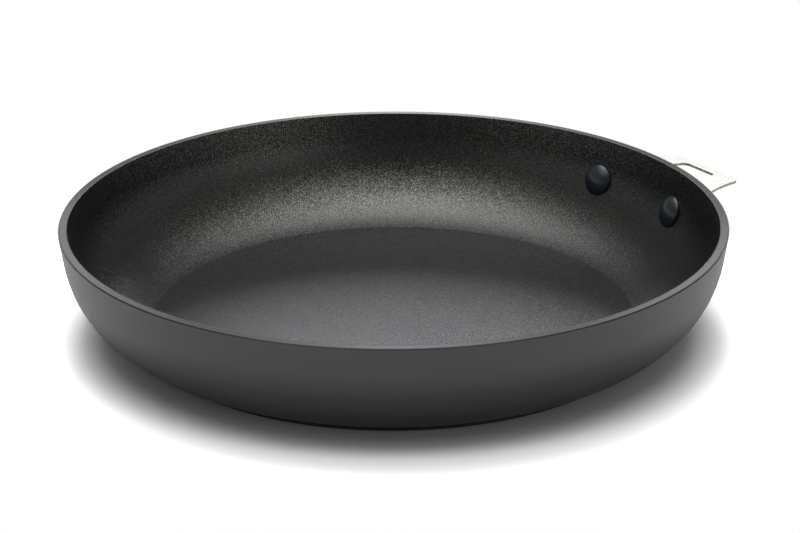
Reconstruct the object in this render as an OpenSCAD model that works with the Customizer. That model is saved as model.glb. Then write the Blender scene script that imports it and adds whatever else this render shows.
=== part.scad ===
// Omelette pan: a dished aluminium body with a non-stick lining, a steel induction plate pressed
// into its foot, and a riveted steel bracket whose window takes a lift-off handle.
// Millimetres. The origin is the centre of the foot on the table, +Z is up, the bracket points to +X.

/* [Pan] */
// Diameter across the outside of the rim
rim_d = 280; // [230:1:340]
// Height of the rim above the table
pan_h = 48.6; // [44:0.1:60]
// Radius of the outside curve between base and wall
curve_r = 42.6; // [34:0.1:46]
// Lean of the upper wall, in degrees from level
wall_angle = 82; // [76:0.5:86]
// Thickness of the metal wall
wall_t = 3.5; // [2.5:0.1:5]
// Extra thickness of the metal base over the wall
base_extra = 0.45; // [0.2:0.05:3]
// Chamfer on the outer edge of the rim
rim_chamfer = 0.5; // [0.2:0.1:1]
// Thickness of the non-stick lining
lining_t = 0.15; // [0.1:0.05:0.5]

/* [Foot] */
// Distance from the rim in to the edge of the foot
foot_inset = 32.1; // [26:0.1:40]
// Height of the foot below the lowest line of the outside curve
foot_lift = 0.6; // [0.2:0.1:1.5]
// Width of the ring of body metal around the induction plate
plate_border = 14; // [6:0.5:30]
// Thickness of the induction plate
plate_t = 1; // [0.6:0.1:2]
// Diameter of the holes through the plate
plate_hole_d = 7; // [4:0.5:10]
// Spacing between the rings of holes
plate_hole_pitch = 17; // [14:0.5:24]
// Holes that each ring has more than the ring inside it
plate_ring_step = 6; // [4:1:7]

/* [Bracket] */
// Thickness of the bracket's sheet
sheet_t = 1.2; // [0.8:0.1:2]
// Reach of the tab beyond the rim
tab_reach = 34.6; // [28:0.1:45]
// Drop from the rim to the top of the tab's outer edge
tab_drop = 14; // [11:0.1:17]
// Fall of the tab towards its outer edge, in degrees
tab_fall = 6.6; // [2:0.1:10]
// Width of the tab at its outer edge
tab_w = 40.2; // [34:0.1:46]
// Flare of each side where it leaves the outer edge, in degrees
flare_angle = 14.5; // [8:0.5:18]
// Radius of the hollow curve of each side
flare_r = 110; // [90:1:200]
// Rounding of the tab's outer corners
tab_corner_r = 3.5; // [1:0.1:5]
// Inside radius of the bend between flange and tab
bend_r = 3; // [2:0.1:5]
// Width of the flange that is riveted to the wall
flange_w = 70; // [66:0.5:80]
// Drop from the rim to the lower edge of the flange
flange_drop = 30; // [28:0.1:34]
// Rounding of the flange's lower corners
flange_corner_r = 8; // [3:0.5:10]

/* [Window] */
// Width of the window, along the rim
window_w = 20.6; // [14:0.1:26]
// Length of the window, away from the rim
window_l = 16; // [10:0.1:20]
// Metal left between the window and the tab's outer edge
window_border = 4.9; // [3:0.1:8]
// Rounding of the window's corners
window_corner_r = 2.5; // [1:0.1:4]

/* [Rivets] */
// Distance between the two rivets at the wall
rivet_spacing = 52; // [44:0.1:54]
// Drop from the rim to the rivets at the outside of the wall
rivet_drop = 19.6; // [18.5:0.1:21]
// Diameter of the rivet's shank
shank_d = 6; // [4:0.1:8]
// Diameter of the head inside the pan
head_d = 14; // [11:0.1:16]
// Height of the head at its crown
head_h = 3.6; // [2.5:0.1:5]
// Height of the head's straight edge
head_edge = 1.1; // [0.8:0.1:1.6]
// Diameter of the closed end outside the bracket
tail_d = 11; // [9:0.1:13]
// Height of the closed end
tail_h = 2.2; // [1.5:0.1:3]
// Rounding of the closed end's edge
tail_edge_r = 0.9; // [0.4:0.1:1.2]

/* [Fits] */
// Clearance all round between a rivet's shank and its holes
shank_play = 0.05; // [0.02:0.01:0.2]
// Clearance all round between the induction plate and the foot
plate_play = 0.05; // [0.02:0.01:0.2]
// Gap under the flange and under both ends of a rivet, where they sit on a curved face
seat_play = 0.05; // [0.02:0.01:0.2]

/* [Hidden] */
$fn = 180;
rim_r = rim_d / 2;
floor_z = foot_lift + wall_t + base_extra;
straight_l = (pan_h - foot_lift - curve_r * (1 - cos(wall_angle))) / sin(wall_angle);
base_r = rim_r - curve_r * sin(wall_angle) - straight_l * cos(wall_angle);
curve_centre = [base_r, foot_lift + curve_r];
wall_out = [sin(wall_angle), -cos(wall_angle)];
far = 2 * rim_d;
past = 1;

foot_r = rim_r - foot_inset;
foot_h = curve_centre.y - sqrt(curve_r ^ 2 - max(foot_r - base_r, 0) ^ 2);
plate_r = foot_r - plate_border;
plate_rings = floor((plate_r - plate_hole_d) / plate_hole_pitch);

tab_end = rim_r + tab_reach;
tab_up = [sin(tab_fall), cos(tab_fall)];
tab_out = [cos(tab_fall), -sin(tab_fall)];
flare_centre = [tab_end + flare_r * sin(flare_angle), tab_w / 2 + flare_r * cos(flare_angle)];
corner_centre_x = tab_end - tab_corner_r;
corner_centre_y = flare_centre.y - sqrt((flare_r + tab_corner_r) ^ 2 - (corner_centre_x - flare_centre.x) ^ 2);
corner_centre = [corner_centre_x, corner_centre_y];
corner_touch = flare_centre + (corner_centre - flare_centre) * flare_r / (flare_r + tab_corner_r);
window_mid_x = tab_end - window_border - window_l / 2;

// The bend's centre lies bend_reach below the tab's top face and wall_reach out from the wall.
// It faces the curve or, on a tall pan, the straight wall above it.
bend_reach = bend_r + sheet_t;
wall_reach = bend_reach + seat_play;
bend_level = [tab_end, pan_h - tab_drop] * tab_up - bend_reach;
bend_rise = bend_level - curve_centre * tab_up;
bend_run = sqrt((curve_r + wall_reach) ^ 2 - bend_rise ^ 2);
bend_by_curve = curve_centre + bend_rise * tab_up + bend_run * tab_out;
bend_curve_angle = atan2(bend_by_curve.x - curve_centre.x, curve_centre.y - bend_by_curve.y);
wall_level = curve_centre * wall_out + curve_r + wall_reach;
wall_cross = wall_out.x * tab_up.y - wall_out.y * tab_up.x;
bend_by_wall = [
    (wall_level * tab_up.y - bend_level * wall_out.y) / wall_cross,
    (bend_level * wall_out.x - wall_level * tab_up.x) / wall_cross
];
bend_on_curve = bend_curve_angle <= wall_angle;
bend_centre = bend_on_curve ? bend_by_curve : bend_by_wall;
bend_angle = bend_on_curve ? bend_curve_angle : wall_angle;

rivet_z = pan_h - rivet_drop;
rivet_on_curve = rivet_z - foot_lift < curve_r * (1 - cos(wall_angle));
rivet_tilt = rivet_on_curve ? acos(1 - (rivet_z - foot_lift) / curve_r) : wall_angle;
rivet_wall_r = rivet_on_curve ? base_r + curve_r * sin(rivet_tilt) : rim_r - (pan_h - rivet_z) / tan(wall_angle);
rivet_turn = asin(rivet_spacing / 2 / rivet_wall_r);
wall_stack = wall_t + lining_t;
drill_reach = wall_stack + sheet_t + head_h;
dome_h = head_h - head_edge;
dome_r = ((head_d / 2) ^ 2 + dome_h ^ 2) / (2 * dome_h);

// Half section of the pan's filled outside, moved out by grow, up to the height top
module outside_section(grow, top) {
    reach = curve_r + grow;
    wall_start = curve_centre + reach * wall_out;
    wall_end_r = wall_start.x + (top - wall_start.y) / tan(wall_angle);
    polygon([
        [0, curve_centre.y - reach],
        [base_r, curve_centre.y - reach],
        wall_start,
        [wall_end_r, top],
        [0, top]
    ]);
    intersection() {
        translate(curve_centre) circle(reach);
        polygon([
            curve_centre,
            curve_centre + [0, -2 * reach],
            curve_centre + [2 * reach, -2 * reach],
            curve_centre + 2 * reach * wall_out
        ]);
    }
}

// The space inside the pan, from the height low up, with its wall in by inset
module inside(inset, low) {
    rotate_extrude() intersection() {
        outside_section(-inset, pan_h + past);
        translate([0, low]) square([far, far]);
    }
}

// Places its children on a rivet's axis, with z = 0 at the wall's outside and +z away from the pan
module at_rivet(side) {
    rotate([0, 0, side * rivet_turn])
        translate([rivet_wall_r, 0, rivet_z])
            rotate([0, 180 - rivet_tilt, 0])
                children();
}

// The two holes for the rivets' shanks, through wall, lining and flange
module rivet_holes() {
    for (side = [-1, 1])
        at_rivet(side)
            cylinder(h = 2 * drill_reach, r = shank_d / 2 + shank_play, center = true);
}

// Centre hole and rings of holes in the induction plate, each of radius r and height h from z = 0
module plate_holes(r, h) {
    cylinder(h = h, r = r);
    for (ring = [1:plate_rings])
        for (hole = [1:plate_ring_step * ring])
            rotate([0, 0, 360 * hole / (plate_ring_step * ring)])
                translate([ring * plate_hole_pitch, 0, 0])
                    cylinder(h = h, r = r);
}

module pan_body() {
    color("#3f4042") difference() {
        rotate_extrude() {
            square([foot_r, foot_h]);
            difference() {
                outside_section(0, pan_h);
                translate([rim_r, pan_h]) rotate(45) square(rim_chamfer * sqrt(2), center = true);
            }
        }
        inside(wall_t, floor_z);
        rivet_holes();
        difference() {
            translate([0, 0, -past]) cylinder(h = plate_t + past, r = plate_r);
            plate_holes(plate_hole_d / 2 - plate_play, plate_t);
        }
    }
}

module nonstick_lining() {
    color("#1c1d1f") difference() {
        intersection() {
            inside(wall_t, floor_z);
            cylinder(h = pan_h, r = far);
        }
        inside(wall_stack, floor_z + lining_t);
        rivet_holes();
    }
}

module induction_plate() {
    color("#a3a29e") difference() {
        cylinder(h = plate_t, r = plate_r - plate_play);
        translate([0, 0, -past]) plate_holes(plate_hole_d / 2, plate_t + 2 * past);
    }
}

// Half section of the space under the bend, its corner at radius r from the bend's centre
module under_bend(r) {
    translate(bend_centre) circle(r);
    translate(bend_centre) rotate(-tab_fall) translate([0, -far]) square([far, far + r]);
    difference() {
        translate(bend_centre) rotate(bend_angle - 90) translate([-far, -far]) square([2 * far, far]);
        outside_section(wall_reach - r, far);
    }
}

// Half section of the bracket's sheet, up the wall, round the bend and out along the tab
module sheet_section() {
    intersection() {
        difference() {
            under_bend(bend_reach);
            under_bend(bend_r);
        }
        square([far, pan_h]);
    }
}

// The sharp corner outside a fillet at the tab's outer edge
module corner_waste() {
    difference() {
        polygon([
            corner_centre,
            [tab_end, corner_centre.y],
            [tab_end + past, corner_centre.y],
            [tab_end + past, corner_touch.y + past],
            corner_touch + [0, past],
            corner_touch
        ]);
        translate(corner_centre) circle(tab_corner_r);
    }
}

// Outline of the bracket seen from above
module plan_outline() {
    difference() {
        translate([0, -flange_w / 2]) square([tab_end, flange_w]);
        for (side = [0, 1])
            mirror([0, side]) {
                translate(flare_centre) circle(flare_r);
                corner_waste();
            }
    }
}

// Rectangle with rounded corners, centred
module rounded_rectangle(w, h, r) {
    square([w - 2 * r, h], center = true);
    square([w, h - 2 * r], center = true);
    for (x = [-1, 1], y = [-1, 1])
        translate([x * (w / 2 - r), y * (h / 2 - r)]) circle(r);
}

module handle_bracket() {
    color("#d3d3cf") difference() {
        intersection() {
            rotate_extrude() sheet_section();
            linear_extrude(pan_h) plan_outline();
            rotate([90, 0, 90])
                linear_extrude(tab_end + past)
                    translate([0, pan_h - flange_drop / 2])
                        rounded_rectangle(flange_w, flange_drop, flange_corner_r);
        }
        translate([window_mid_x, 0, 0])
            linear_extrude(pan_h)
                rounded_rectangle(window_l, window_w, window_corner_r);
        rivet_holes();
    }
}

// One rivet: domed head on the lining, shank, and closed end on the bracket's flange
module rivet(side) {
    color("#2f3237") {
        intersection() {
            at_rivet(side) mirror([0, 0, 1]) rotate_extrude() {
                square([head_d / 2, wall_stack + head_edge]);
                intersection() {
                    translate([0, wall_stack + head_h - dome_r]) circle(dome_r);
                    translate([0, wall_stack]) square([head_d / 2, head_h]);
                }
            }
            inside(wall_stack + seat_play, floor_z + lining_t);
        }
        at_rivet(side)
            translate([0, 0, -wall_stack - head_edge / 2])
                cylinder(h = wall_stack + head_edge / 2 + sheet_t + tail_h / 2, r = shank_d / 2);
        difference() {
            at_rivet(side) rotate_extrude() {
                square([tail_d / 2, sheet_t + tail_h - tail_edge_r]);
                square([tail_d / 2 - tail_edge_r, sheet_t + tail_h]);
                translate([tail_d / 2 - tail_edge_r, sheet_t + tail_h - tail_edge_r]) circle(tail_edge_r);
            }
            rotate_extrude() outside_section(sheet_t + 2 * seat_play, pan_h);
        }
    }
}

module rivet_left() {
    rivet(1);
}

module rivet_right() {
    rivet(-1);
}

pan_body();
nonstick_lining();
induction_plate();
handle_bracket();
rivet_left();
rivet_right();
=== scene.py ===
"""Omelette pan, dressed over its CAD frame.

The frame is in metres with +Z up, and the bracket points to +X. Sizes below are in millimetres.
"""

import math

import bmesh
import bpy
from mathutils import Matrix, Vector


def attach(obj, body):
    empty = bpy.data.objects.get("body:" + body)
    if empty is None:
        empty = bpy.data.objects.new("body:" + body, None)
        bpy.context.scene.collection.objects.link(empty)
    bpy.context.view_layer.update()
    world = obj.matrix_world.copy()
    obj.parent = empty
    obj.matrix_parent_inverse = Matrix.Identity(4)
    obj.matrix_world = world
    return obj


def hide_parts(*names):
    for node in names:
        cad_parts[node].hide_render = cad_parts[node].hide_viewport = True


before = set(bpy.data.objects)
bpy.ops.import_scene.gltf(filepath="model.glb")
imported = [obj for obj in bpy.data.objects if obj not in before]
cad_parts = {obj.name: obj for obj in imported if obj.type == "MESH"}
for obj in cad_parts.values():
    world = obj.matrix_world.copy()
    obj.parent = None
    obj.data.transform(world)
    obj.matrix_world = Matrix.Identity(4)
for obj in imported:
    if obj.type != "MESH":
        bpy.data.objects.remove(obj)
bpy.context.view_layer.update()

MM = 0.001
TURN = 2 * math.pi
ON_AXIS = 1e-6

# The pan's section, with the names and values of the CAD source
RIM_R = 140.0
PAN_H = 48.6
CURVE_R = 42.6
WALL_ANGLE = math.radians(82)
WALL_T = 3.5
BASE_EXTRA = 0.45
RIM_CHAMFER = 0.5
LINING_T = 0.15
FOOT_R = RIM_R - 32.1
FOOT_LIFT = 0.6
PLATE_R = FOOT_R - 14
PLATE_T = 1.0
PLATE_PLAY = 0.05
HOLE_R = 3.5
HOLE_PITCH = 17.0
HOLE_RINGS = 5
HOLES_PER_RING = 6
SHEET_T = 1.2
SEAT_PLAY = 0.05
RIVET_SPACING = 52.0
RIVET_Z = PAN_H - 19.6
SHANK_R = 3.0
HEAD_R = 7.0
HEAD_H = 3.6
HEAD_EDGE = 1.1
TAIL_R = 5.5
TAIL_H = 2.2
TAIL_EDGE_R = 0.9

STRAIGHT_L = (PAN_H - FOOT_LIFT - CURVE_R * (1 - math.cos(WALL_ANGLE))) / math.sin(WALL_ANGLE)
BASE_R = RIM_R - CURVE_R * math.sin(WALL_ANGLE) - STRAIGHT_L * math.cos(WALL_ANGLE)
CURVE_Z = FOOT_LIFT + CURVE_R
FLOOR_Z = FOOT_LIFT + WALL_T + BASE_EXTRA
STACK_T = WALL_T + LINING_T
RIVET_TILT = math.acos((CURVE_Z - RIVET_Z) / CURVE_R)
RIVET_WALL_R = BASE_R + CURVE_R * math.sin(RIVET_TILT)
RIVET_TURN = math.asin(RIVET_SPACING / 2 / RIVET_WALL_R)

# Radii of the rounds that the CAD source leaves out. For plate and sheet it is a width
RIM_ROUND = 0.2
CHAMFER_ROUND = 0.1
FOOT_ROUND = 0.3
FOOT_SEAM_ROUND = 0.15
RECESS_ROUND = 0.1
BOSS_ROUND = 0.15
PLATE_ROUND = 0.1
SHEET_ROUND = 0.09
HEAD_ROUND = 1.1
HEAD_FOOT_ROUND = 0.2
TAIL_FOOT_ROUND = 0.15
FLOOR_BLEND_R = 4.0

# The wall's outside starts this far from the foot, and a boss reaches this far into the body
FOOT_MARGIN = 0.5
BOSS_SINK = 0.2

# How finely the shapes are divided, with the dome's two angles in degrees
PAN_SIDES = 384
BOSS_SIDES = 32
RIVET_SIDES = 72
WALL_STEP = math.radians(2.5)
ROUND_STEP = math.radians(18)
DOME_STEP = 3
DOME_END = 35
SEATING_TRIES = 6

# Faces that meet at more than these angles keep a sharp edge: on turned pieces, and on cut sheet
TURNED_SHARP = math.radians(30)
CUT_SHARP = math.radians(50)
WELD = 0.002


# Shapes


def wall_line(inset, low):
    """Points (r, z) up the wall at a depth inset under its outside, from the height low to the rim."""
    reach = CURVE_R - inset
    first = math.acos(min(1, (CURVE_Z - low) / reach))
    count = math.ceil((WALL_ANGLE - first) / WALL_STEP)
    angles = [first + (WALL_ANGLE - first) * i / count for i in range(count + 1)]
    line = [(BASE_R + reach * math.sin(a), CURVE_Z - reach * math.cos(a)) for a in angles]
    top_r = line[-1][0] + (PAN_H - line[-1][1]) / math.tan(WALL_ANGLE)
    return line + [(top_r, PAN_H)]


def wall_depth(r, z):
    """Depth of a point under the wall's outside, less than 0 outside the pan."""
    out, up = math.sin(WALL_ANGLE), math.cos(WALL_ANGLE)
    if (r - BASE_R) * up + (z - CURVE_Z) * out > 0:
        return CURVE_R - ((r - BASE_R) * out - (z - CURVE_Z) * up)
    return CURVE_R - math.hypot(max(0, r - BASE_R), z - CURVE_Z)


def rounded(corners):
    """An open line through corners (r, z, radius, finish), each turned into an arc of its radius.

    Gives points (r, z) and, for each, the finish of the band that follows it.
    """
    points, bands = [], []
    for i, (r, z, radius, band) in enumerate(corners):
        if radius == 0 or i in (0, len(corners) - 1):
            points.append((r, z))
            bands.append(band)
            continue
        here = Vector((r, z))
        before = (Vector(corners[i - 1][:2]) - here).normalized()
        after = (Vector(corners[i + 1][:2]) - here).normalized()
        half = before.angle(after) / 2
        centre = here + (before + after).normalized() * (radius / math.sin(half))
        start = here + before * (radius / math.tan(half)) - centre
        end = here + after * (radius / math.tan(half)) - centre
        swing = math.atan2(start.x * end.y - start.y * end.x, start.dot(end))
        count = max(2, round(abs(swing) / ROUND_STEP))
        for k in range(count + 1):
            p = Matrix.Rotation(swing * k / count, 2) @ start + centre
            points.append((p.x, p.y))
            bands.append(band if k > count / 2 else corners[i - 1][3])
    return points, bands


def turned(bm, points, bands, sides, place=None):
    """Turns a line of points (r, z) about the z axis into bm. place moves each vertex."""
    rings = []
    for r, z in points:
        if r < ON_AXIS:
            spots = [Vector((0, 0, z))]
        else:
            spots = [Vector((r * math.cos(TURN * k / sides), r * math.sin(TURN * k / sides), z))
                     for k in range(sides)]
        rings.append([bm.verts.new((place(p) if place else p) * MM) for p in spots])
    for low, high, band in zip(rings, rings[1:], bands):
        for k in range(sides):
            j = (k + 1) % sides
            loop = [low[k % len(low)], low[j % len(low)], high[j % len(high)], high[k % len(high)]]
            face = bm.faces.new(dict.fromkeys(loop))
            face.material_index = band
            face.smooth = True


def piece(name, bm, finishes, node, sharp=TURNED_SHARP):
    """Makes an object of bm with the given finishes, which stands for a CAD node and hides it.

    Large faces weigh most in the smoothed normals, so a flat face stays flat up to its rounded edge.
    """
    bmesh.ops.recalc_face_normals(bm, faces=bm.faces)
    alike = math.cos(sharp)
    lean = {face: face.normal * face.calc_area() for face in bm.faces}
    normals = []
    for face in bm.faces:
        for vert in face.verts:
            near = [lean[f] for f in vert.link_faces if f.normal.dot(face.normal) > alike]
            normals.append(sum(near, Vector()).normalized())
    mesh = bpy.data.meshes.new(name)
    bm.to_mesh(mesh)
    bm.free()
    mesh.normals_split_custom_set(normals)
    for finish in finishes:
        mesh.materials.append(finish)
    obj = bpy.data.objects.new(name, mesh)
    bpy.context.scene.collection.objects.link(obj)
    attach(obj, "root")
    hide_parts(node)


# Materials

# Repeats of each pattern to the millimetre. The clouds are as large as real ones. Real grit, flakes
# and grain are too fine to show in the render, so they are drawn as coarse as they need to show
OXIDE_CLOUDS = 0.03
BLAST_GRAIN = 1.6
FLAKES = 3.8
SHEET_GRAIN = 3.0
SPRAY_GRAIN = 1.4

# Depth of the relief that grit and spray leave, and twice the slope that a flake has at most
RELIEF = 0.05
FLAKE_LEAN = 0.34


def linear(colour):
    """An sRGB hex colour as linear RGBA."""
    parts = [int(colour[i:i + 2], 16) / 255 for i in (1, 3, 5)]
    parts = [c / 12.92 if c <= 0.04045 else ((c + 0.055) / 1.055) ** 2.4 for c in parts]
    return (*parts, 1.0)


def add(tree, kind, inputs=None, **settings):
    """Adds a node with its settings and with its inputs set to values or linked to sockets."""
    made = tree.nodes.new(kind)
    for name, value in settings.items():
        setattr(made, name, value)
    for name, value in (inputs or {}).items():
        if isinstance(value, bpy.types.NodeSocket):
            tree.links.new(value, made.inputs[name])
        else:
            made.inputs[name].default_value = value
    return made


def finish_of(name, build):
    """A new material whose surface is the shader that build(tree, point) returns, point in millimetres."""
    material = bpy.data.materials.new(name)
    material.use_nodes = True
    tree = material.node_tree
    tree.nodes.clear()
    place = add(tree, "ShaderNodeTexCoord").outputs["Object"]
    point = add(tree, "ShaderNodeVectorMath", {0: place, 3: 1 / MM}, operation="SCALE").outputs[0]
    shader = build(tree, point)
    add(tree, "ShaderNodeOutputMaterial", {"Surface": shader.outputs[0]})
    return material


def hard_anodised_aluminium(tree, point):
    # Blasted before it is anodised: a matte grey-black oxide with a fine, even grain
    grain = add(tree, "ShaderNodeTexNoise", {"Vector": point, "Scale": BLAST_GRAIN, "Detail": 3.0})
    cloud = add(tree, "ShaderNodeTexNoise", {"Vector": point, "Scale": OXIDE_CLOUDS, "Detail": 2.0})
    tone = add(tree, "ShaderNodeMix", {"Factor": cloud.outputs["Fac"], "A": linear("#191a1c"),
                                       "B": linear("#1f2022")}, data_type="RGBA")
    bump = add(tree, "ShaderNodeBump", {"Height": grain.outputs["Fac"], "Strength": 0.12,
                                        "Distance": RELIEF * MM})
    return add(tree, "ShaderNodeBsdfPrincipled", {
        "Base Color": tone.outputs["Result"], "Roughness": 0.34, "IOR": 1.8,
        "Normal": bump.outputs["Normal"]})


def turned_rim(tree, point):
    # The rim is turned after blasting and anodised with the rest: smoother, so it mirrors more,
    # and its fine turning marks smear what it mirrors across them
    around = add(tree, "ShaderNodeTangent", direction_type="RADIAL", axis="Z")
    return add(tree, "ShaderNodeBsdfPrincipled", {
        "Base Color": linear("#262728"), "Roughness": 0.4, "IOR": 2.0, "Anisotropic": 1.0,
        "Tangent": around.outputs[0]})


def sprayed_nonstick(tree, point):
    # A sprayed and baked black fluoropolymer full of fine metallic flakes, under its own clear
    # skin: the flakes lie nearly flat, each a little askew, so they glint around a mirrored lamp,
    # warm and grainy there, and the skin is smooth and plain grey at a flat angle
    flakes = add(tree, "ShaderNodeTexVoronoi", {"Vector": point, "Scale": FLAKES}).outputs["Color"]
    lit = add(tree, "ShaderNodeMapRange", {"Value": flakes, "From Min": 0.3})
    tone = add(tree, "ShaderNodeMix", {"Factor": lit.outputs[0], "A": linear("#373837"),
                                       "B": linear("#70706a")}, data_type="RGBA")
    level = add(tree, "ShaderNodeNewGeometry").outputs["Normal"]
    askew = add(tree, "ShaderNodeVectorMath", {0: flakes, 1: (0.5, 0.5, 0.5)},
                operation="SUBTRACT")
    tilt = add(tree, "ShaderNodeVectorMath", {0: askew.outputs[0], 1: (FLAKE_LEAN,) * 3, 2: level},
               operation="MULTIPLY_ADD")
    lie = add(tree, "ShaderNodeVectorMath", {0: tilt.outputs[0]}, operation="NORMALIZE")
    return add(tree, "ShaderNodeBsdfPrincipled", {
        "Base Color": tone.outputs["Result"], "Metallic": 0.9, "Roughness": 0.29,
        "Specular Tint": linear("#f5f6ff"), "Normal": lie.outputs[0], "Coat Weight": 0.3,
        "Coat Roughness": 0.32, "Coat IOR": 1.42, "Coat Normal": level})


def ground_steel(tree, point):
    # Magnetic stainless steel, ground flat with the foot: its fine marks stretch what it mirrors
    return add(tree, "ShaderNodeBsdfPrincipled", {
        "Base Color": linear("#b9b6b1"), "Metallic": 1.0, "Roughness": 0.35, "Anisotropic": 0.5})


def satin_stainless(tree, point):
    # Cold-rolled stainless sheet, stamped and barrelled: an even satin with a faint fine grain
    grain = add(tree, "ShaderNodeTexNoise", {"Vector": point, "Scale": SHEET_GRAIN, "Detail": 2.0})
    rough = add(tree, "ShaderNodeMapRange", {"Value": grain.outputs["Fac"], "To Min": 0.28,
                                             "To Max": 0.36})
    return add(tree, "ShaderNodeBsdfPrincipled", {
        "Base Color": linear("#d8d7d4"), "Metallic": 1.0, "Roughness": rough.outputs[0]})


def sheared_edge(tree, point):
    # The punch leaves a torn, dull edge, darker than the faces of the sheet
    return add(tree, "ShaderNodeBsdfPrincipled", {
        "Base Color": linear("#a6a5a2"), "Metallic": 1.0, "Roughness": 0.45})


def coated_rivet(tree, point):
    # The aluminium head has a black coat of its own, without flakes: smoother than the lining, with a
    # soft highlight on the dome
    grain = add(tree, "ShaderNodeTexNoise", {"Vector": point, "Scale": SPRAY_GRAIN, "Detail": 2.0})
    bump = add(tree, "ShaderNodeBump", {"Height": grain.outputs["Fac"], "Strength": 0.25,
                                        "Distance": RELIEF * MM})
    return add(tree, "ShaderNodeBsdfPrincipled", {
        "Base Color": linear("#282e33"), "Roughness": 0.27, "IOR": 1.6,
        "Normal": bump.outputs["Normal"]})


def upset_aluminium(tree, point):
    # The closed end is pressed flat on the bracket, so its aluminium is bare and burnished
    return add(tree, "ShaderNodeBsdfPrincipled", {
        "Base Color": linear("#c9cacc"), "Metallic": 1.0, "Roughness": 0.32})


anodised = finish_of("hard_anodised_aluminium", hard_anodised_aluminium)
rim_finish = finish_of("turned_anodised_rim", turned_rim)
nonstick = finish_of("sprayed_nonstick", sprayed_nonstick)
steel = finish_of("ground_magnetic_steel", ground_steel)
stainless = finish_of("satin_stainless_sheet", satin_stainless)
sheared = finish_of("sheared_stainless_edge", sheared_edge)
rivet_coat = finish_of("coated_aluminium_rivet", coated_rivet)
rivet_bare = finish_of("upset_aluminium", upset_aluminium)


# Pieces


def hole_spots():
    """Centres of the holes through the induction plate."""
    yield 0.0, 0.0
    for ring in range(1, HOLE_RINGS + 1):
        for hole in range(HOLES_PER_RING * ring):
            a = TURN * hole / (HOLES_PER_RING * ring)
            yield ring * HOLE_PITCH * math.cos(a), ring * HOLE_PITCH * math.sin(a)


def pan_body():
    """Foot, wall and rim in one turned shell, and the bosses that fill the plate's holes."""
    skin, land = 0, 1
    outside = [p for p in wall_line(0, FOOT_LIFT) if p[0] > FOOT_R + FOOT_MARGIN]
    foot_top = CURVE_Z - math.sqrt(CURVE_R ** 2 - (FOOT_R - BASE_R) ** 2)
    inside = wall_line(WALL_T, FLOOR_Z)
    corners = [(0, PLATE_T, 0, skin), (PLATE_R, PLATE_T, 0, skin), (PLATE_R, 0, RECESS_ROUND, skin),
               (FOOT_R, 0, FOOT_ROUND, skin), (FOOT_R, foot_top, FOOT_SEAM_ROUND, skin)]
    corners += [(r, z, 0, skin) for r, z in outside[:-1]]
    chamfer_r = RIM_R - RIM_CHAMFER / math.tan(WALL_ANGLE)
    corners += [(chamfer_r, PAN_H - RIM_CHAMFER, CHAMFER_ROUND, skin),
                (RIM_R - RIM_CHAMFER, PAN_H, RIM_ROUND, land), (*inside[-1], RIM_ROUND, skin)]
    corners += [(r, z, 0, skin) for r, z in inside[-2::-1]] + [(0, FLOOR_Z, 0, skin)]
    bm = bmesh.new()
    turned(bm, *rounded(corners), sides=PAN_SIDES)
    boss_r, boss_top = HOLE_R - PLATE_PLAY, PLATE_T + BOSS_SINK
    boss = [(0, 0, 0, skin), (boss_r, 0, BOSS_ROUND, skin), (boss_r, boss_top, 0, skin),
            (0, boss_top, 0, skin)]
    for x, y in hole_spots():
        turned(bm, *rounded(boss), sides=BOSS_SIDES, place=lambda p: p + Vector((x, y, 0)))
    piece("pan_body", bm, [anodised, rim_finish], "pan_body")


def nonstick_lining():
    """The coat on the body's inside, which blends from floor to wall."""
    face = wall_line(STACK_T, FLOOR_Z + LINING_T)
    back = wall_line(WALL_T, FLOOR_Z)
    corners = [(0, FLOOR_Z + LINING_T, 0, 0), (*face[0], FLOOR_BLEND_R, 0)]
    corners += [(r, z, 0, 0) for r, z in face[1:] + back[::-1]] + [(0, FLOOR_Z, 0, 0)]
    bm = bmesh.new()
    turned(bm, *rounded(corners), sides=PAN_SIDES)
    piece("nonstick_lining", bm, [nonstick], "nonstick_lining")


def sides_of(bm):
    """Groups of faces that meet at less than the sharp angle of cut sheet, the largest group first."""
    left, groups = set(bm.faces), []
    while left:
        group, reach = [], [left.pop()]
        while reach:
            face = reach.pop()
            group.append(face)
            for edge in face.edges:
                if len(edge.link_faces) == 2 and edge.calc_face_angle() <= CUT_SHARP:
                    near = [f for f in edge.link_faces if f in left]
                    left.difference_update(near)
                    reach += near
        groups.append(group)
    return sorted(groups, key=lambda group: -sum(f.calc_area() for f in group))


def eased(node, finishes, width):
    """The CAD node's own shape, with its cut edges eased to a small round of this width.

    Its two large sides take the first finish, and what was cut between them takes the last.
    """
    bm = bmesh.new()
    bm.from_mesh(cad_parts[node].data)
    bmesh.ops.remove_doubles(bm, verts=bm.verts, dist=WELD * MM)
    for place, group in enumerate(sides_of(bm)):
        for face in group:
            face.material_index = 0 if place < 2 else len(finishes) - 1
            face.smooth = True
    cut = [e for e in bm.edges if len(e.link_faces) == 2 and e.calc_face_angle() > CUT_SHARP]
    bmesh.ops.bevel(bm, geom=cut, offset=width * MM, offset_type="OFFSET", segments=2,
                    profile=0.5, affect="EDGES", clamp_overlap=True)
    for face in bm.faces:
        face.smooth = True
    piece(node, bm, finishes, node, CUT_SHARP)


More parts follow.
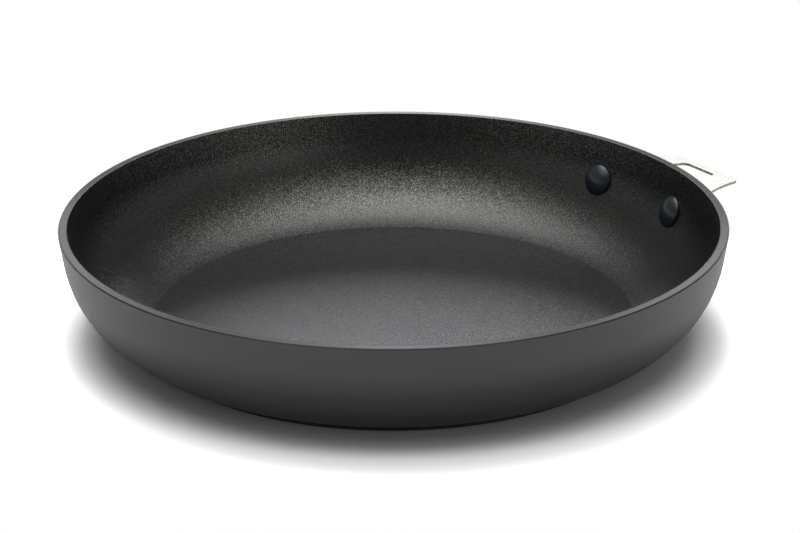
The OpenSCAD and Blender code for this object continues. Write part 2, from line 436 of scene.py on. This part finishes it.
def rivet(node, side):
    """Domed head on the lining, shank through the wall, and the closed end pressed on the flange."""
    coated, bare = 0, 1
    stand = (Matrix.Rotation(side * RIVET_TURN, 4, "Z") @ Matrix.Translation((RIVET_WALL_R, 0, RIVET_Z))
             @ Matrix.Rotation(math.pi - RIVET_TILT, 4, "Y"))
    head_seat, tail_seat = STACK_T, -SHEET_T - SEAT_PLAY
    dome_h = HEAD_H - HEAD_EDGE
    dome_r = (HEAD_R ** 2 + dome_h ** 2) / (2 * dome_h)
    dome_z = -STACK_T - HEAD_H + dome_r
    arc = [math.radians(a) for a in range(0, DOME_END, DOME_STEP)]
    corners = [(dome_r * math.sin(a), dome_z - dome_r * math.cos(a), 0, coated) for a in arc]
    corners += [(HEAD_R, -STACK_T - HEAD_EDGE, HEAD_ROUND, coated),
                (HEAD_R, -STACK_T, HEAD_FOOT_ROUND, coated),
                (SHANK_R, -STACK_T, 0, bare), (SHANK_R, SHEET_T, 0, bare),
                (TAIL_R, SHEET_T, TAIL_FOOT_ROUND, bare),
                (TAIL_R, SHEET_T + TAIL_H, TAIL_EDGE_R, bare), (0, SHEET_T + TAIL_H, 0, bare)]

    def seated(p):
        """Lowers the foot of each end on to the curved face below it."""
        seat, top, depth = ((-STACK_T, -STACK_T - HEAD_EDGE, head_seat + SEAT_PLAY) if p.z < 0 else
                            (SHEET_T, SHEET_T + TAIL_H, tail_seat - SEAT_PLAY))
        share = max(0, 1 - (p.z - seat) / (top - seat))
        touch = Vector((p.x, p.y, seat))
        for _ in range(SEATING_TRIES):
            spot = stand @ touch
            touch.z += wall_depth(math.hypot(spot.x, spot.y), spot.z) - depth
        return stand @ Vector((p.x, p.y, p.z + share * (touch.z - seat)))

    bm = bmesh.new()
    turned(bm, *rounded(corners), sides=RIVET_SIDES, place=seated)
    piece(node, bm, [rivet_coat, rivet_bare], node)


pan_body()
nonstick_lining()
eased("induction_plate", [steel], PLATE_ROUND)
eased("handle_bracket", [stainless, sheared], SHEET_ROUND)
rivet("rivet_left", 1)
rivet("rivet_right", -1)


# Studio

# The camera, as it was fitted to the edges of the pan in the photograph, with angles in degrees
CAMERA_AT = (-581.70, -849.55, 435.77)
CAMERA_ANGLES = (68.291, 0.163, -34.609)
CAMERA_LENS = 117.94
CAMERA_SENSOR = 36
CAMERA_NEAREST = 50
VIEW_AZIMUTH = math.radians(-34.4)

# The card that the pan stands on. Distances are from the pan's centre, and the gains are how many times
# lighter the camera sees the card. The low gain next to the pan is painted shadow, on top of the rendered
# shadow
CARD_REACH = 6000
SHADE_STRETCH = 1.08
SHADE_FROM, SHADE_TO = 115.0, 134.0
SHADE_GAIN_FROM, SHADE_GAIN_TO = 1.3, 3.0
WHITE_FROM, WHITE_TO = 148.0, 190.0
BACKDROP_FROM, BACKDROP_TO = 500.0, 1100.0

# The room. The sweep ends between two heights and the dark part between two depths, each a
# component of the direction that is looked in
SWEEP_FROM, SWEEP_TO = 0.1, 0.32
SWEEP_GLOW, CEILING_GLOW = 1.0, 0.25
DARK_FROM, DARK_TO = -0.9, -0.6
DARK_SHARE = 0.35
ROOM_LIGHT = 0.18


def studio_point(x, y, z):
    """A point in metres, from millimetres to the right in the view, away from the camera and up."""
    return Matrix.Rotation(VIEW_AZIMUTH, 3, "Z") @ Vector((x, y, z)) * MM


def camera():
    """The camera at the photograph's angle."""
    data = bpy.data.cameras.new("camera")
    data.lens = CAMERA_LENS
    data.sensor_width = CAMERA_SENSOR
    data.clip_start = CAMERA_NEAREST * MM
    obj = bpy.data.objects.new("camera", data)
    obj.location = Vector(CAMERA_AT) * MM
    obj.rotation_euler = [math.radians(a) for a in CAMERA_ANGLES]
    bpy.context.scene.collection.objects.link(obj)
    bpy.context.scene.camera = obj


def lamp(name, at, aim, width, depth, glow):
    """A soft lamp at a point, turned to another. Its face glows as strongly as white, times glow."""
    data = bpy.data.lights.new(name, "AREA")
    data.shape = "RECTANGLE"
    data.size, data.size_y = width * MM, depth * MM
    data.energy = glow * math.pi * data.size * data.size_y
    obj = bpy.data.objects.new(name, data)
    obj.location = studio_point(*at)
    turn = (Vector(aim) - Vector(at)).to_track_quat("-Z", "Y").to_matrix()
    obj.rotation_euler = (Matrix.Rotation(VIEW_AZIMUTH, 3, "Z") @ turn).to_euler()
    bpy.context.scene.collection.objects.link(obj)


def white_card(tree, point):
    # A matte white card. The camera sees it lighter around the pan than it is, by a gain that grows
    # outwards from the pan, starting a little further out across the view. The gain is low close to the
    # pan, so painted shadow deepens the rendered shadow there. Beyond that the card is plain white. The
    # pan mirrors its far parts plain white
    rays = add(tree, "ShaderNodeLightPath").outputs
    seen = add(tree, "ShaderNodeMath", {0: rays["Is Camera Ray"], 1: rays["Is Transmission Ray"]},
               operation="MAXIMUM").outputs[0]
    away = add(tree, "ShaderNodeVectorMath", {0: point}, operation="LENGTH").outputs["Value"]
    oval = add(tree, "ShaderNodeMapping", {"Vector": point, "Rotation": (0, 0, VIEW_AZIMUTH),
                                           "Scale": (SHADE_STRETCH, 1, 1)}, vector_type="TEXTURE")
    out = add(tree, "ShaderNodeVectorMath", {0: oval.outputs[0]}, operation="LENGTH")
    # Painted shadow: the card's colour, as the camera sees it, ramps from dark next to the pan to light
    # further out
    painted_shadow_gain = add(tree, "ShaderNodeMapRange", {
        "Value": out.outputs["Value"], "From Min": SHADE_FROM, "From Max": SHADE_TO,
        "To Min": SHADE_GAIN_FROM, "To Max": SHADE_GAIN_TO})
    level = add(tree, "ShaderNodeMix", {"Factor": seen, "A": 1.0, "B": painted_shadow_gain.outputs[0]})
    card = add(tree, "ShaderNodeBsdfDiffuse", {"Color": level.outputs[0]})
    white = add(tree, "ShaderNodeEmission", {"Strength": 1.0})
    beyond = add(tree, "ShaderNodeMapRange", {"Value": away, "From Min": WHITE_FROM,
                                              "From Max": WHITE_TO, "To Max": seen})
    far = add(tree, "ShaderNodeMapRange", {"Value": away, "From Min": BACKDROP_FROM,
                                           "From Max": BACKDROP_TO,
                                           "To Max": rays["Is Glossy Ray"]})
    plain = add(tree, "ShaderNodeMath", {0: beyond.outputs[0], 1: far.outputs[0]},
                operation="MAXIMUM")
    return add(tree, "ShaderNodeMixShader", {0: plain.outputs[0], 1: card.outputs[0],
                                             2: white.outputs[0]})


def table():
    """A flat square of card under the pan."""
    bm = bmesh.new()
    bmesh.ops.create_grid(bm, x_segments=1, y_segments=1, size=CARD_REACH * MM)
    mesh = bpy.data.meshes.new("table")
    bm.to_mesh(mesh)
    bm.free()
    mesh.materials.append(finish_of("white_card", white_card))
    obj = bpy.data.objects.new("table", mesh)
    bpy.context.scene.collection.objects.link(obj)


def room():
    """A pale sweep along the horizon, a dim room above it, and a darker part behind the camera."""
    world = bpy.data.worlds.new("studio")
    world.use_nodes = True
    tree = world.node_tree
    tree.nodes.clear()
    rays = add(tree, "ShaderNodeLightPath").outputs
    seen = add(tree, "ShaderNodeMath", {0: rays["Is Camera Ray"], 1: rays["Is Transmission Ray"]},
               operation="MAXIMUM")
    away = studio_point(0, 1, 0).normalized()
    towards = add(tree, "ShaderNodeTexCoord").outputs["Generated"]
    height = add(tree, "ShaderNodeSeparateXYZ", {"Vector": towards}).outputs["Z"]
    sweep = add(tree, "ShaderNodeMapRange", {
        "Value": height, "From Min": SWEEP_FROM, "From Max": SWEEP_TO, "To Min": SWEEP_GLOW,
        "To Max": CEILING_GLOW})
    depth = add(tree, "ShaderNodeVectorMath", {0: towards, 1: away}, operation="DOT_PRODUCT")
    shade = add(tree, "ShaderNodeMapRange", {"Value": depth.outputs["Value"], "From Min": DARK_FROM,
                                             "From Max": DARK_TO, "To Min": DARK_SHARE})
    lit = add(tree, "ShaderNodeMath", {0: sweep.outputs[0], 1: shade.outputs[0]},
              operation="MULTIPLY")
    room_level = add(tree, "ShaderNodeMix", {"Factor": rays["Is Glossy Ray"],
                                             "A": ROOM_LIGHT, "B": lit.outputs[0]})
    level = add(tree, "ShaderNodeMix", {"Factor": seen.outputs[0], "A": room_level.outputs[0],
                                        "B": 1.0})
    light = add(tree, "ShaderNodeBackground", {"Strength": level.outputs[0]})
    add(tree, "ShaderNodeOutputWorld", {"Surface": light.outputs[0]})
    bpy.context.scene.world = world


camera()
table()
room()
lamp("softbox", at=(-75, 545, 1200), aim=(-75, 545, 0), width=650, depth=1270, glow=2.35)
lamp("scrim", at=(-60, 130, 1210), aim=(-60, 130, 0), width=1450, depth=1640, glow=1.1)
lamp("strip", at=(85, 1210, 455), aim=(85, 0, 20), width=760, depth=290, glow=2.5)
lamp("fill", at=(890, -890, 260), aim=(0, 0, 20), width=800, depth=330, glow=0.9)
bpy.context.scene.view_settings.view_transform = "Standard"
